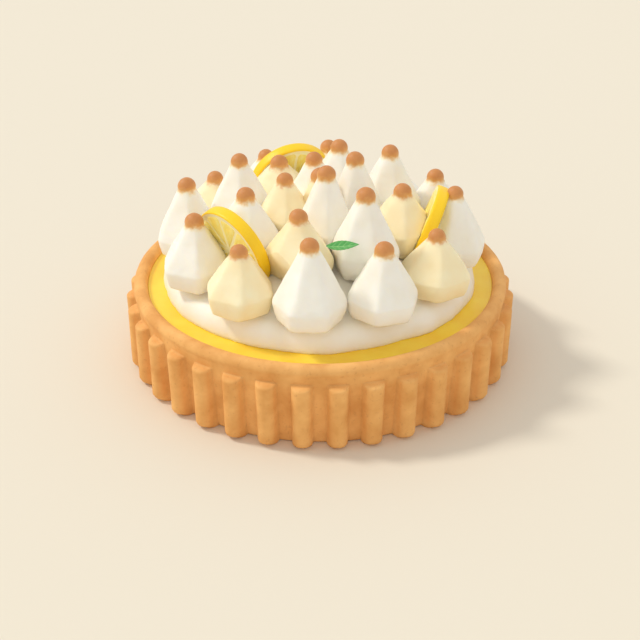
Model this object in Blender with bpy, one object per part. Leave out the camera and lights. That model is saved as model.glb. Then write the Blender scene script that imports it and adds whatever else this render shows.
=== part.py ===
"""Lemon meringue pie: a fluted pastry case filled with lemon curd, a domed bed of meringue,
25 piped meringue kisses, three wheels of lemon and a mint leaf.

Metres, +Z up. The origin is the middle of the flat underside and the front is towards -Y.
Each piece keeps a small gap to what it touches, so that every solid stays separate.
"""
import math
import random

import bmesh
import bpy
from mathutils import Matrix, Vector

MM = 0.001
GAP = 0.3 * MM                      # between pieces that touch
SEED = 7

# Pastry case: floor, fluted wall and rounded rim
FLUTES = 36
FLUTE_CREST_RADIUS = 116.5 * MM
FLUTE_WIDTH_SHARE = 0.62            # of the pitch, the rest is the gap between two flutes
FLUTE_TOP = 40 * MM
FLUTE_CHAMFER = 2.5 * MM
WALL_RADIUS_AT_FOOT = 107.5 * MM
WALL_RADIUS_AT_RIM = 110.8 * MM
FOOT_ROUNDING = 2.5 * MM
FLOOR_THICKNESS = 6 * MM
RIM_RADIUS = 107.6 * MM             # middle of the rounded rim
RIM_HALF_WIDTH = 4.0 * MM
RIM_CENTRE_HEIGHT = 46.4 * MM
RIM_CROWN = 4.6 * MM                # height of the rounding
INNER_RADIUS_AT_FLOOR = 98 * MM
INNER_RADIUS_AT_RIM = 103.4 * MM

# Lemon curd, just under the crown of the rim
CURD_TOP = 46.0 * MM
CURD_COLUMNS = 72

# Bed of meringue: a dome with a wandering edge
BED_RADIUS = 91.5 * MM
# Radius of the wandering edge in mm, every 15 degrees from the front towards +X
BED_EDGE = (89.3, 87.5, 87.3, 90.4, 91.1, 92.8, 92.4, 90.6, 91.8, 92.5, 90.2, 91.0,
            92.0, 90.6, 91.8, 92.4, 90.4, 92.3, 94.0, 92.5, 92.2, 90.4, 89.1, 88.0)
BED_EDGE_TOP = 56.5 * MM
BED_DOME = 22.0 * MM                # rise from the edge to the middle
BED_SHOULDER = 1.0                  # under 1 makes the dome fuller towards its edge
BED_LIP = 5.0 * MM                  # how far its thick side leans in
BED_COLUMNS = 60

# Kisses, ring by ring: ring radius, angle of the first one in degrees, belly radius,
# height of the foot above the table, and the height of each tip
KISS_RINGS = {
    "outer": (78 * MM, -4.0, 20.4 * MM, 51.5 * MM,
              (110, 104, 98.5, 107, 100.5, 95, 102, 98.5, 95, 107.5, 103.5, 99.5)),
    "middle": (48.5 * MM, -14.0, 20.0 * MM, 64.0 * MM,
               (112, 122.5, 111.5, 120, 114.5, 106.5, 120, 115)),
    "inner": (20.5 * MM, 10.0, 17.0 * MM, 69.0 * MM, (126, 124.5, 117.5, 114.5)),
    "centre": (0.0, 0.0, 15.0 * MM, 68.0 * MM, (116,)),
}
KISS_SIDES = 6                      # soft ridges left by the nozzle
KISS_FOOT = 0.40                    # radius at the foot, as a share of the belly
KISS_BELLY_RISE = 20.5 * MM         # from the foot to the widest place
KISS_TIP_RADIUS = 5.0 * MM          # of the browned, rounded tip
KISS_TIP_LENGTH = 7.5 * MM
KISS_UNEVEN = 0.045                 # how much the sides differ
KISS_TWIST = math.radians(8)        # from foot to tip
# Where one ridge of a front kiss points, in degrees from the front
RIDGE_TURNS = {
    "kiss_outer_01": 28, "kiss_outer_02": -14, "kiss_outer_03": 0, "kiss_outer_12": 3,
    "kiss_middle_02": 15, "kiss_middle_03": 2,
}

# Lemon wheels, half sunk between the kisses: ring radius, ring angle, height of the centre,
# direction that the wheel faces and how far that face looks down
WHEEL_RADIUS = 26 * MM
WHEEL_THICKNESS = 7.2 * MM
WHEEL_SEGMENTS = 40
WHEELS = {
    "left": (59.0 * MM, -55.0, 81.7 * MM, -46.0, 15.0),
    "back": (63.3 * MM, -163.0, 82.8 * MM, 21.0, 18.0),
    "right": (62.8 * MM, 85.0, 80.5 * MM, 80.0, 20.0),
}

# Mint leaf, pressed against the front of a kiss
LEAF_LENGTH = 18 * MM
LEAF_WIDTH = 9.5 * MM
LEAF_THICKNESS = 1.2 * MM
LEAF_FOLD = 1.1 * MM                # how far the midrib lies below the edges
LEAF_CENTRE = Vector((12.2, -60.5, 97.2)) * MM
LEAF_RISE = math.radians(6)         # upwards to the right
LEAF_TURN = math.radians(-6)        # seen from above
LEAF_ROLL = math.radians(8)         # its front edge is the lower one
LEAF_STATIONS = 9


def clear_scene():
    for old in list(bpy.data.objects):
        bpy.data.objects.remove(old, do_unlink=True)


def linear_colour(hex_colour):
    """sRGB hex to linear RGBA."""
    channels = [int(hex_colour[i:i + 2], 16) / 255 for i in (0, 2, 4)]
    linear = [c / 12.92 if c <= 0.04045 else ((c + 0.055) / 1.055) ** 2.4 for c in channels]
    return (*linear, 1.0)


def food_material(name, hex_colour, roughness):
    material = bpy.data.materials.new(name)
    material.use_nodes = True
    shader = material.node_tree.nodes["Principled BSDF"]
    shader.inputs["Base Color"].default_value = linear_colour(hex_colour)
    shader.inputs["Roughness"].default_value = roughness
    shader.inputs["Metallic"].default_value = 0.0
    return material


def add_piece(name, bm, material, sharp_degrees=35):
    """Turn a closed bmesh into a smooth-shaded object of its own."""
    bmesh.ops.recalc_face_normals(bm, faces=bm.faces[:])
    mesh = bpy.data.meshes.new(name)
    bm.to_mesh(mesh)
    bm.free()
    mesh.shade_smooth()
    mesh.set_sharp_from_angle(angle=math.radians(sharp_degrees))
    mesh.materials.append(material)
    piece = bpy.data.objects.new(name, mesh)
    bpy.context.scene.collection.objects.link(piece)
    return piece


def ring_point(radius, angle, height):
    """A point at an angle from the front, positive towards +X."""
    return Vector((radius * math.sin(angle), -radius * math.cos(angle), height))


def closed_stack(rings, bottom_pole=None, top_pole=None):
    """Join rings of points, listed from the bottom up, and close both ends."""
    bm = bmesh.new()
    loops = [[bm.verts.new(point) for point in ring] for ring in rings]
    count = len(loops[0])
    for low, high in zip(loops, loops[1:]):
        for i in range(count):
            j = (i + 1) % count
            bm.faces.new((low[i], low[j], high[j], high[i]))
    for loop, pole in ((loops[0], bottom_pole), (loops[-1], top_pole)):
        if pole is None:
            bm.faces.new(loop)
            continue
        centre = bm.verts.new(pole)
        for i in range(count):
            bm.faces.new((loop[i], loop[(i + 1) % count], centre))
    return bm


def cut_away(bm, point, normal):
    """Remove what lies beyond a plane, on the side its normal points to, and cap the cut."""
    geometry = bm.verts[:] + bm.edges[:] + bm.faces[:]
    bmesh.ops.bisect_plane(bm, geom=geometry, dist=1e-7, plane_co=point, plane_no=normal,
                           clear_outer=True)
    rim = [edge for edge in bm.edges if edge.is_boundary]
    if rim:
        bmesh.ops.holes_fill(bm, edges=rim)


# ---------------------------------------------------------------- pastry case

def flute_columns():
    """Angle of each column of the wall, with how far it stands out: 0 in a gap, 1 on a crest."""
    pitch = 2 * math.pi / FLUTES
    half = FLUTE_WIDTH_SHARE / 2
    columns = []
    for flute in range(FLUTES):
        middle = (flute + 0.5) * pitch
        for step in (-1.0, -0.62, 0.0, 0.62, 1.0):
            bulge = math.sqrt(1 - step * step)
            columns.append((middle + step * half * pitch, bulge))
    return columns


def wall_radius(height):
    """Radius of the wall between two flutes at a height."""
    share = height / FLUTE_TOP
    return WALL_RADIUS_AT_FOOT + share * (WALL_RADIUS_AT_RIM - WALL_RADIUS_AT_FOOT)


def case_profile():
    """(height, radius in the gaps, radius on the crests) up the outside, over the rim and
    down the inside."""
    crest = FLUTE_CREST_RADIUS
    rows = [
        (0.0, wall_radius(0) - 1.5 * MM, crest - FOOT_ROUNDING),
        (FOOT_ROUNDING, wall_radius(FOOT_ROUNDING), crest),
        (FLUTE_TOP - FLUTE_CHAMFER, wall_radius(FLUTE_TOP - FLUTE_CHAMFER), crest),
        (FLUTE_TOP, wall_radius(FLUTE_TOP), crest - FLUTE_CHAMFER),
        (FLUTE_TOP + 0.6 * MM, WALL_RADIUS_AT_RIM, WALL_RADIUS_AT_RIM),
    ]
    for degrees in (0, 40, 75, 110, 145):
        turn = math.radians(degrees)
        height = RIM_CENTRE_HEIGHT + RIM_CROWN * math.sin(turn)
        radius = RIM_RADIUS + RIM_HALF_WIDTH * math.cos(turn)
        rows.append((height, radius, radius))
    rows.append((RIM_CENTRE_HEIGHT - 1.5 * MM, INNER_RADIUS_AT_RIM, INNER_RADIUS_AT_RIM))
    rows.append((FLOOR_THICKNESS, INNER_RADIUS_AT_FLOOR, INNER_RADIUS_AT_FLOOR))
    return rows


def make_pastry_case():
    columns = flute_columns()
    rings = []
    for height, gap, crest in case_profile():
        ring = [ring_point(gap + (crest - gap) * bulge, angle, height)
                for angle, bulge in columns]
        rings.append(ring)
    bm = closed_stack(rings, bottom_pole=(0, 0, 0), top_pole=(0, 0, FLOOR_THICKNESS))
    add_piece("pastry_case", bm, food_material("baked_pastry", "E6A965", 0.7))


# ---------------------------------------------------------------- filling

def inner_radius(height):
    """Radius of the inside of the case at a height."""
    share = (height - FLOOR_THICKNESS) / (RIM_CENTRE_HEIGHT - FLOOR_THICKNESS)
    return INNER_RADIUS_AT_FLOOR + share * (INNER_RADIUS_AT_RIM - INNER_RADIUS_AT_FLOOR)


def turned_ring(radius, height, count):
    return [ring_point(radius, 2 * math.pi * i / count, height) for i in range(count)]


def make_lemon_curd():
    bottom = FLOOR_THICKNESS + GAP
    shoulder = CURD_TOP - 1.0 * MM
    rings = [
        turned_ring(inner_radius(bottom) - 2 * GAP, bottom, CURD_COLUMNS),
        turned_ring(inner_radius(shoulder) - 2 * GAP, shoulder, CURD_COLUMNS),
        turned_ring(inner_radius(CURD_TOP) - 1.0 * MM, CURD_TOP, CURD_COLUMNS),
    ]
    bm = closed_stack(rings)
    add_piece("lemon_curd", bm, food_material("lemon_curd", "F6D94F", 0.25))


# ---------------------------------------------------------------- bed of meringue

def bed_edge(angle):
    """Radius of the bed's edge, eased between the points of BED_EDGE."""
    place = angle / (2 * math.pi) * len(BED_EDGE)
    step = math.floor(place)
    ease = (1 - math.cos(math.pi * (place - step))) / 2
    near, far = (BED_EDGE[i % len(BED_EDGE)] for i in (step, step + 1))
    return (near + (far - near) * ease) * MM


def bed_height(radius):
    return BED_EDGE_TOP + BED_DOME * (1 - (radius / BED_RADIUS) ** 2) ** BED_SHOULDER


def bed_plane(x, y):
    """Point and upward normal of the plane that touches the dome above (x, y)."""
    radius = math.hypot(x, y)
    inside = 1 - (radius / BED_RADIUS) ** 2
    slope = 2 * BED_DOME * BED_SHOULDER * inside ** (BED_SHOULDER - 1) / BED_RADIUS ** 2
    normal = Vector((slope * x, slope * y, 1.0)).normalized()
    point = Vector((x, y, bed_height(radius))) + normal * GAP
    return point, normal


def make_meringue_bed():
    angles = [2 * math.pi * i / BED_COLUMNS for i in range(BED_COLUMNS)]
    bottom = CURD_TOP + GAP
    rings = [
        [ring_point(bed_edge(a) - BED_LIP * 0.1, a, bottom) for a in angles],
        [ring_point(bed_edge(a), a, bottom + 0.2 * (BED_EDGE_TOP - bottom)) for a in angles],
        [ring_point(bed_edge(a) - BED_LIP * 0.3, a, bottom + 0.6 * (BED_EDGE_TOP - bottom))
         for a in angles],
        [ring_point(bed_edge(a) - BED_LIP, a, BED_EDGE_TOP) for a in angles],
    ]
    for share in (0.9, 0.78, 0.58, 0.33):
        radius = share * BED_RADIUS
        rings.append([ring_point(radius, a, bed_height(radius)) for a in angles])
    bm = closed_stack(rings, top_pole=(0, 0, bed_height(0)))
    add_piece("meringue_bed", bm, food_material("meringue_white", "F7EFDD", 0.6))


# ---------------------------------------------------------------- kisses

class Kiss:
    """One piped kiss: where it stands, how tall and wide it is, and its own unevenness."""

    def __init__(self, name, place, belly, foot, tip, draw):
        self.name = name
        self.axis = place
        self.foot = foot
        self.tip = tip
        self.belly = belly * draw.uniform(0.96, 1.04)
        self.belly_share = KISS_BELLY_RISE * draw.uniform(0.94, 1.08) / self.height
        turn = draw.uniform(0, 360)
        self.start = math.radians(RIDGE_TURNS.get(name, turn))
        self.sides = [1 + draw.uniform(-KISS_UNEVEN, KISS_UNEVEN) for _ in range(KISS_SIDES)]

    @property
    def height(self):
        return self.tip - self.foot

    @property
    def neck_share(self):
        """Share of the height at which the rounded tip starts."""
        return 1 - KISS_TIP_LENGTH / self.height

    def radius(self, share):
        """Radius at a share of the height, before the sides are made uneven."""
        if share <= self.belly_share:
            depth = (1 - share / self.belly_share) * math.sqrt(1 - KISS_FOOT ** 2)
            return self.belly * math.sqrt(1 - depth ** 2)
        if share <= self.neck_share:
            taper = (share - self.belly_share) / (self.neck_share - self.belly_share)
            return self.belly + (KISS_TIP_RADIUS - self.belly) * taper ** 1.12
        rounding = (share - self.neck_share) / (1 - self.neck_share)
        return KISS_TIP_RADIUS * math.sqrt(max(0.0, 1 - rounding ** 2))

    def at(self, share):
        return Vector((self.axis.x, self.axis.y, self.foot + share * self.height))

    def ring(self, share):
        evenness = min(1.0, self.radius(share) / self.belly)
        points = []
        for i, side in enumerate(self.sides):
            angle = self.start + 2 * math.pi * i / KISS_SIDES + KISS_TWIST * share
            radius = self.radius(share) * (1 + (side - 1) * evenness)
            points.append(self.at(share) + ring_point(radius, angle, 0.0))
        return points


def list_kisses():
    draw = random.Random(SEED)
    kisses = []
    for ring_name, (ring_radius, first, belly, foot, tips) in KISS_RINGS.items():
        step = 360 / len(tips)
        for number, tip in enumerate(tips):
            name = f"kiss_{ring_name}_{number + 1:02d}"
            place = ring_point(ring_radius, math.radians(first + step * number), 0.0)
            kisses.append(Kiss(name, place, belly, foot, tip * MM, draw))
    return kisses


def plane_between(kiss, other):
    """Plane on the kiss's side of the seam where two kisses press together."""
    mine = kiss.at(kiss.belly_share)
    theirs = other.at(other.belly_share)
    across = theirs - mine
    across.z *= 0.35
    normal = across.normalized()
    share = kiss.belly / (kiss.belly + other.belly)
    point = mine + (theirs - mine) * share - normal * (GAP / 2)
    return point, normal


def trim_by_neighbours(bm, kiss, kisses):
    for other in kisses:
        if other is kiss:
            continue
        apart = (other.axis - kiss.axis).length
        reach = (kiss.belly + other.belly) * (1 + KISS_UNEVEN) + GAP
        if apart < reach:
            point, normal = plane_between(kiss, other)
            cut_away(bm, point, normal)


def trim_by_wheels(bm, kiss, wheels):
    """Cut a kiss back where a lemon wheel was pushed in beside it, by the plane along the
    wheel that takes the least away."""
    shares = [i / 12 for i in range(13)]
    places = [kiss.at(share) for share in shares]
    reaches = [kiss.radius(share) * (1 + KISS_UNEVEN) for share in shares]
    for wheel in wheels:
        best = None
        for place in places:
            contact = wheel.nearest(place)
            outward = (place - contact).normalized()
            edge = contact + outward * (WHEEL_THICKNESS / 2 + GAP)
            room = min((spot - edge).dot(outward) - reach for spot, reach in zip(places, reaches))
            if best is None or room > best[0]:
                best = (room, edge, outward)
        room, edge, outward = best
        if room < 0:
            cut_away(bm, edge, -outward)


def make_kiss(kiss, kisses, wheels, material):
    belly = kiss.belly_share
    neck = kiss.neck_share
    tip = 1 - neck
    shares = (0.0, 0.2 * belly, 0.5 * belly, belly, belly + 0.5 * (neck - belly), neck,
              neck + 0.6 * tip)
    bm = closed_stack([kiss.ring(share) for share in shares], top_pole=kiss.at(1.0))
    point, normal = bed_plane(kiss.axis.x, kiss.axis.y)
    cut_away(bm, point, -normal)
    cut_away(bm, point, Vector((0, 0, -1)))
    trim_by_neighbours(bm, kiss, kisses)
    trim_by_wheels(bm, kiss, wheels)
    add_piece(kiss.name, bm, material)


# ---------------------------------------------------------------- lemon wheels

class Wheel:
    """A round slice of lemon standing on edge."""

    def __init__(self, name, ring_radius, ring_degrees, height, facing_degrees, down_degrees):
        self.name = name
        self.centre = ring_point(ring_radius, math.radians(ring_degrees), height)
        facing = math.radians(facing_degrees)
        down = math.radians(down_degrees)
        self.normal = ring_point(math.cos(down), facing, -math.sin(down))

    def nearest(self, point):
        """Point of the wheel's middle disc that is nearest to a point."""
        offset = point - self.centre
        flat = offset - self.normal * offset.dot(self.normal)
        if flat.length > WHEEL_RADIUS:
            flat = flat.normalized() * WHEEL_RADIUS
        return self.centre + flat


def make_wheel(wheel, material):
    side = wheel.normal.cross(Vector((0, 0, 1))).normalized()
    up = side.cross(wheel.normal)
    half = WHEEL_THICKNESS / 2
    bevel = 0.8 * MM
    rings = []
    for depth, radius in ((-half, WHEEL_RADIUS - bevel), (-half + bevel, WHEEL_RADIUS),
                          (half - bevel, WHEEL_RADIUS), (half, WHEEL_RADIUS - bevel)):
        ring = []
        for i in range(WHEEL_SEGMENTS):
            turn = 2 * math.pi * i / WHEEL_SEGMENTS
            around = side * (radius * math.cos(turn)) + up * (radius * math.sin(turn))
            ring.append(wheel.centre + around + wheel.normal * depth)
        rings.append(ring)
    bm = closed_stack(rings)
    point, normal = bed_plane(wheel.centre.x, wheel.centre.y)
    cut_away(bm, point, -normal)
    add_piece(wheel.name, bm, material)


# ---------------------------------------------------------------- mint leaf

def make_mint_leaf():
    """A pointed oval, folded a little along its midrib."""
    rings = []
    for i in range(1, LEAF_STATIONS):
        share = i / LEAF_STATIONS
        half = 0.5 * LEAF_WIDTH * math.sin(math.pi * share ** 0.85)
        along = (share - 0.5) * LEAF_LENGTH
        sag = LEAF_FOLD * half / (0.5 * LEAF_WIDTH)
        thick = LEAF_THICKNESS / 2
        rings.append([
            Vector((along, -half, 0.0)),
            Vector((along, 0.0, -sag - thick)),
            Vector((along, half, 0.0)),
            Vector((along, 0.0, -sag + thick)),
        ])
    ends = (Vector((-0.5 * LEAF_LENGTH, 0, 0)), Vector((0.5 * LEAF_LENGTH, 0, 0)))
    bm = closed_stack(rings, bottom_pole=ends[0], top_pole=ends[1])
    place = Matrix.Translation(LEAF_CENTRE)
    place = place @ Matrix.Rotation(LEAF_TURN, 4, "Z") @ Matrix.Rotation(-LEAF_RISE, 4, "Y")
    place = place @ Matrix.Rotation(LEAF_ROLL, 4, "X")
    bmesh.ops.transform(bm, matrix=place, verts=bm.verts[:])
    add_piece("mint_leaf", bm, food_material("mint_leaf", "5DAA55", 0.5), sharp_degrees=60)


def build():
    clear_scene()
    make_pastry_case()
    make_lemon_curd()
    make_meringue_bed()
    kisses = list_kisses()
    wheels = [Wheel(f"lemon_wheel_{name}", *values) for name, values in WHEELS.items()]
    meringue = food_material("meringue_kiss", "FBF6E8", 0.55)
    lemon = food_material("lemon_flesh", "FFE66E", 0.35)
    for kiss in kisses:
        make_kiss(kiss, kisses, wheels, meringue)
    for wheel in wheels:
        make_wheel(wheel, lemon)
    make_mint_leaf()


build()
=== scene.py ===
import math
import random

import bmesh
import bpy
from mathutils import Matrix, Vector, noise


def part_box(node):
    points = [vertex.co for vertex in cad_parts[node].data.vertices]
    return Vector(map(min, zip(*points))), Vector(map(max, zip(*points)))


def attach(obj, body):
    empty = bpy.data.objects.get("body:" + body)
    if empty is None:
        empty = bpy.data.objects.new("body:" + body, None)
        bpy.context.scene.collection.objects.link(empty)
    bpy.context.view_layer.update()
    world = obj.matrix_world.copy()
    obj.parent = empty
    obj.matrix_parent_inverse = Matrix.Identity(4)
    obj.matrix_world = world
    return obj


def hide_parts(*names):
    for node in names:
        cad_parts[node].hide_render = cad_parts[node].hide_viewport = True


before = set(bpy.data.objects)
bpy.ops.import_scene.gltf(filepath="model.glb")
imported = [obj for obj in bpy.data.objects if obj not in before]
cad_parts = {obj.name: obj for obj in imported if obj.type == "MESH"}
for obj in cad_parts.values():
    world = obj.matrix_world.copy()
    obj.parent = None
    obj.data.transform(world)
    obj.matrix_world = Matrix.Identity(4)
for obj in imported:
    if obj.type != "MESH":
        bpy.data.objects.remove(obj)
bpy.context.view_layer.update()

MM = 0.001


# ------------------------------------------------------------------ studio
# A pale table under plain daylight: a broad soft lamp high on the left and a light sky.
# The table is stage only, and the pie stands on it with nothing else.

TABLE_COLOUR = "E4DBC8"
TABLE_SIZE = 40.0
SUN_STRENGTH = 1.45
SUN_SOFTNESS = math.radians(9)
SUN_FROM = Vector((-0.70, 0.20, 0.78))
SKY_STRENGTH = 0.82
CAMERA_DISTANCE = 0.7376
CAMERA_LIFT = math.radians(30.57)
CAMERA_AIM_HEIGHT = 14.7 * MM
CAMERA_LENS = 67.18


def linear(hex_colour, alpha=1.0):
    """sRGB hex to linear RGBA."""
    channels = [int(hex_colour[i:i + 2], 16) / 255 for i in (0, 2, 4)]
    curve = [c / 12.92 if c <= 0.04045 else ((c + 0.055) / 1.055) ** 2.4 for c in channels]
    return (*curve, alpha)


def new_material(name, roughness, **settings):
    """A named material with its Principled shader; returns material, tree and shader."""
    material = bpy.data.materials.new(name)
    material.use_nodes = True
    tree = material.node_tree
    shader = tree.nodes["Principled BSDF"]
    shader.inputs["Roughness"].default_value = roughness
    for key, value in settings.items():
        shader.inputs[key.replace("_", " ")].default_value = value
    return material, tree, shader


world = bpy.data.worlds.new("sky")
bpy.context.scene.world = world
world.use_nodes = True
world.node_tree.nodes["Background"].inputs["Color"].default_value = linear("FFFFFF")
world.node_tree.nodes["Background"].inputs["Strength"].default_value = SKY_STRENGTH

sun_data = bpy.data.lights.new("soft_lamp", "SUN")
sun_data.energy = SUN_STRENGTH
sun_data.angle = SUN_SOFTNESS
sun_data.color = linear("FFFCF6")[:3]
sun = bpy.data.objects.new("soft_lamp", sun_data)
sun.rotation_euler = SUN_FROM.to_track_quat("Z", "Y").to_euler()
bpy.context.scene.collection.objects.link(sun)

camera_data = bpy.data.cameras.new("camera")
camera_data.lens = CAMERA_LENS
camera = bpy.data.objects.new("camera", camera_data)
camera.location = (0, -CAMERA_DISTANCE * math.cos(CAMERA_LIFT),
                   CAMERA_AIM_HEIGHT + CAMERA_DISTANCE * math.sin(CAMERA_LIFT))
camera.rotation_euler = (math.pi / 2 - CAMERA_LIFT, 0, 0)
bpy.context.scene.collection.objects.link(camera)
bpy.context.scene.camera = camera
bpy.context.scene.view_settings.view_transform = "Standard"

table_mesh = bpy.data.meshes.new("table")
half_table = TABLE_SIZE / 2
table_mesh.from_pydata([(-half_table, -half_table, 0), (half_table, -half_table, 0),
                        (half_table, half_table, 0), (-half_table, half_table, 0)],
                       [], [(0, 1, 2, 3)])
table = bpy.data.objects.new("table", table_mesh)
bpy.context.scene.collection.objects.link(table)
table_paint, table_tree, table_shader = new_material("matt_painted_table", 0.8)
table_shader.inputs["Base Color"].default_value = linear(TABLE_COLOUR)
table_mesh.materials.append(table_paint)


# ------------------------------------------------------------------ pastry case
# A tart case of shortcrust, pressed into a deep fluted tin and baked golden. The flutes are
# rounded ribs with blunt tops, and above them the rim is a smooth, slightly uneven roll.

case_low, case_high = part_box("pastry_case")
FLUTES = 36
FLUTE_CREST = (case_high[0] - case_low[0]) / 2 / math.cos(math.pi / FLUTES)
FLUTE_HALF_WIDTH = 0.31             # of the pitch
FLUTE_TOP = 40 * MM
WALL_AT_FOOT = 107.5 * MM
WALL_AT_RIM = 110.6 * MM
FOOT_ROUNDING = 2.2 * MM
RIM_MIDDLE = 107.4 * MM
RIM_HALF_WIDTH = 4.1 * MM
RIM_BASE = 46.4 * MM
RIM_CROWN = case_high[2] - RIM_BASE
INSIDE_AT_RIM = 103.3 * MM
INSIDE_AT_FLOOR = 98 * MM
FLOOR_TOP = 6 * MM
CASE_COLUMNS = FLUTES * 24
PASTRY_GRAIN = 0.9 * MM             # crumbs of flour and butter
PASTRY_PATCH = 16 * MM              # patches that browned more in the oven
BAKING_RISE = 0.45 * MM             # how much the dough moved as it baked


def add_node(tree, kind, settings=None, *sources):
    """Add a node. Settings are its properties and the values of its inputs. Sources go to its
    inputs, in order or in a dict by name or number: each is a socket, a number, or a node,
    which gives its first output."""
    node = tree.nodes.new(kind)
    for key, value in (settings or {}).items():
        if isinstance(key, str) and hasattr(node, key):
            setattr(node, key, value)
        else:
            node.inputs[key].default_value = value
    for place, source in enumerate(sources):
        for key, value in (source if isinstance(source, dict) else {place: source}).items():
            if isinstance(value, (int, float)):
                node.inputs[key].default_value = value
            elif isinstance(value, bpy.types.Node):
                tree.links.new(value.outputs[0], node.inputs[key])
            else:
                tree.links.new(value, node.inputs[key])
    return node


def finish_piece(piece, node):
    """A finished piece rides on the pie and stands for its CAD node."""
    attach(piece, "root")
    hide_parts(node)
    return piece


def turned_point(radius, angle, height):
    """A point at an angle from the front, positive towards +X."""
    return Vector((radius * math.sin(angle), -radius * math.cos(angle), height))


def stack_rings(bm, rings, bottom=None, top=None):
    """Skin closed rings of points, listed from the bottom up, and close the ends."""
    loops = [[bm.verts.new(point) for point in ring] for ring in rings]
    count = len(loops[0])
    for low, high in zip(loops, loops[1:]):
        for i in range(count):
            j = (i + 1) % count
            bm.faces.new((low[i], low[j], high[j], high[i]))
    if bottom is not None:
        pole = bm.verts.new(bottom)
        for i in range(count):
            bm.faces.new((loops[0][(i + 1) % count], loops[0][i], pole))
    if top is not None:
        pole = bm.verts.new(top)
        for i in range(count):
            bm.faces.new((loops[-1][i], loops[-1][(i + 1) % count], pole))
    return loops


def mesh_object(name, bm, material=None):
    """Close a bmesh into a smooth object with its faces pointing out."""
    bmesh.ops.recalc_face_normals(bm, faces=bm.faces[:])
    mesh = bpy.data.meshes.new(name)
    bm.to_mesh(mesh)
    bm.free()
    mesh.shade_smooth()
    if material is not None:
        mesh.materials.append(material)
    piece = bpy.data.objects.new(name, mesh)
    bpy.context.scene.collection.objects.link(piece)
    return piece


def bake_nodes(piece, tree, inputs):
    """Run a Geometry Nodes tree on a piece and keep its result as a plain mesh."""
    modifier = piece.modifiers.new("shape", "NODES")
    modifier.node_group = tree
    for item in tree.interface.items_tree:
        if item.item_type == "SOCKET" and item.in_out == "INPUT" and item.name in inputs:
            modifier[item.identifier] = inputs[item.name]
    bpy.context.view_layer.update()
    evaluated = piece.evaluated_get(bpy.context.evaluated_depsgraph_get())
    shaped = bpy.data.meshes.new_from_object(evaluated)
    piece.modifiers.remove(modifier)
    blank = piece.data
    piece.data = shaped
    shaped.name = piece.name
    bpy.data.meshes.remove(blank)
    return piece


def new_shape_tree(name, inputs):
    """A Geometry Nodes tree with a geometry input and output and named value inputs."""
    tree = bpy.data.node_groups.new(name, "GeometryNodeTree")
    tree.interface.new_socket("Geometry", in_out="INPUT", socket_type="NodeSocketGeometry")
    for label, kind in inputs.items():
        tree.interface.new_socket(label, in_out="INPUT", socket_type=f"NodeSocket{kind}")
    tree.interface.new_socket("Geometry", in_out="OUTPUT", socket_type="NodeSocketGeometry")
    entry = tree.nodes.new("NodeGroupInput")
    return tree, entry.outputs


def close_tree(tree, geometry, material):
    """End a tree: smooth faces, realized instances and the material."""
    smooth = add_node(tree, "GeometryNodeSetShadeSmooth", {}, {0: geometry})
    real = add_node(tree, "GeometryNodeRealizeInstances", {}, {0: smooth.outputs[0]})
    painted = add_node(tree, "GeometryNodeSetMaterial", {"Material": material},
                       {"Geometry": real.outputs[0]})
    add_node(tree, "NodeGroupOutput", {}, {0: painted.outputs[0]})


def case_wall(height):
    """Radius between the flutes at a height."""
    return WALL_AT_FOOT + (WALL_AT_RIM - WALL_AT_FOOT) * height / FLUTE_TOP


def case_outline():
    """(radius, height) from the middle of the underside, up the wall, over the rim and in."""
    points = [(radius * MM, 0.0) for radius in (30, 60, 85, 98, 104)]
    for step in range(5):
        turn = math.radians(-90 + 22.5 * step)
        radius = case_wall(0) - FOOT_ROUNDING + FOOT_ROUNDING * math.cos(turn)
        points.append((radius, FOOT_ROUNDING + FOOT_ROUNDING * math.sin(turn)))
    heights = [FOOT_ROUNDING + (0.92 * FLUTE_TOP - FOOT_ROUNDING) * step / 18
               for step in range(1, 19)]
    heights += [FLUTE_TOP + above * MM
                for above in (-2.4, -1.7, -1.1, -0.7, -0.4, -0.2, 0, 0.3, 1, 2.4, 3.8, 5)]
    points += [(case_wall(height), height) for height in heights]
    for step in range(13):
        turn = math.radians(-5 + 15 * step)
        points.append((RIM_MIDDLE + RIM_HALF_WIDTH * math.cos(turn),
                       RIM_BASE + RIM_CROWN * math.sin(turn)))
    for height in (44.5, 42.0, 36.0, 26.0, 14.0, 7.0):
        share = (height * MM - FLOOR_TOP) / (RIM_BASE - FLOOR_TOP)
        points.append((INSIDE_AT_FLOOR + share * (INSIDE_AT_RIM - INSIDE_AT_FLOOR), height * MM))
    points += [(radius * MM, FLOOR_TOP) for radius in (96, 60, 30)]
    return points


# Golden shortcrust: matt, a fine sandy grain from the rubbed-in butter, and soft patches that
# the oven coloured more. It gives the eye a dry, warm, slightly mottled surface.
pastry, tree, shader = new_material("golden_shortcrust", 0.72, Specular_IOR_Level=0.35)
where = add_node(tree, "ShaderNodeTexCoord").outputs["Object"]
patches = add_node(tree, "ShaderNodeTexNoise",
                   {"Scale": 1 / PASTRY_PATCH, "Detail": 3.0, "Roughness": 0.55},
                   {"Vector": where})
tones = add_node(tree, "ShaderNodeValToRGB", {}, {"Fac": patches.outputs[0]})
tones.color_ramp.elements[0].position = 0.30
tones.color_ramp.elements[0].color = linear("DF9D53")
tones.color_ramp.elements[1].position = 0.66
tones.color_ramp.elements[1].color = linear("F5BA6F")
speckles = add_node(tree, "ShaderNodeTexNoise",
                    {"Scale": 1 / (2.2 * MM), "Detail": 2.0, "Roughness": 0.6},
                    {"Vector": where})
speckle_amount = add_node(tree, "ShaderNodeMapRange",
                          {"From Min": 0.60, "From Max": 0.74, "To Max": 0.35},
                          {"Value": speckles.outputs[0]})
speckled = add_node(tree, "ShaderNodeMix", {"data_type": "RGBA", 7: linear("C48348")},
                    {0: speckle_amount.outputs[0], 6: tones.outputs[0]})
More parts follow.
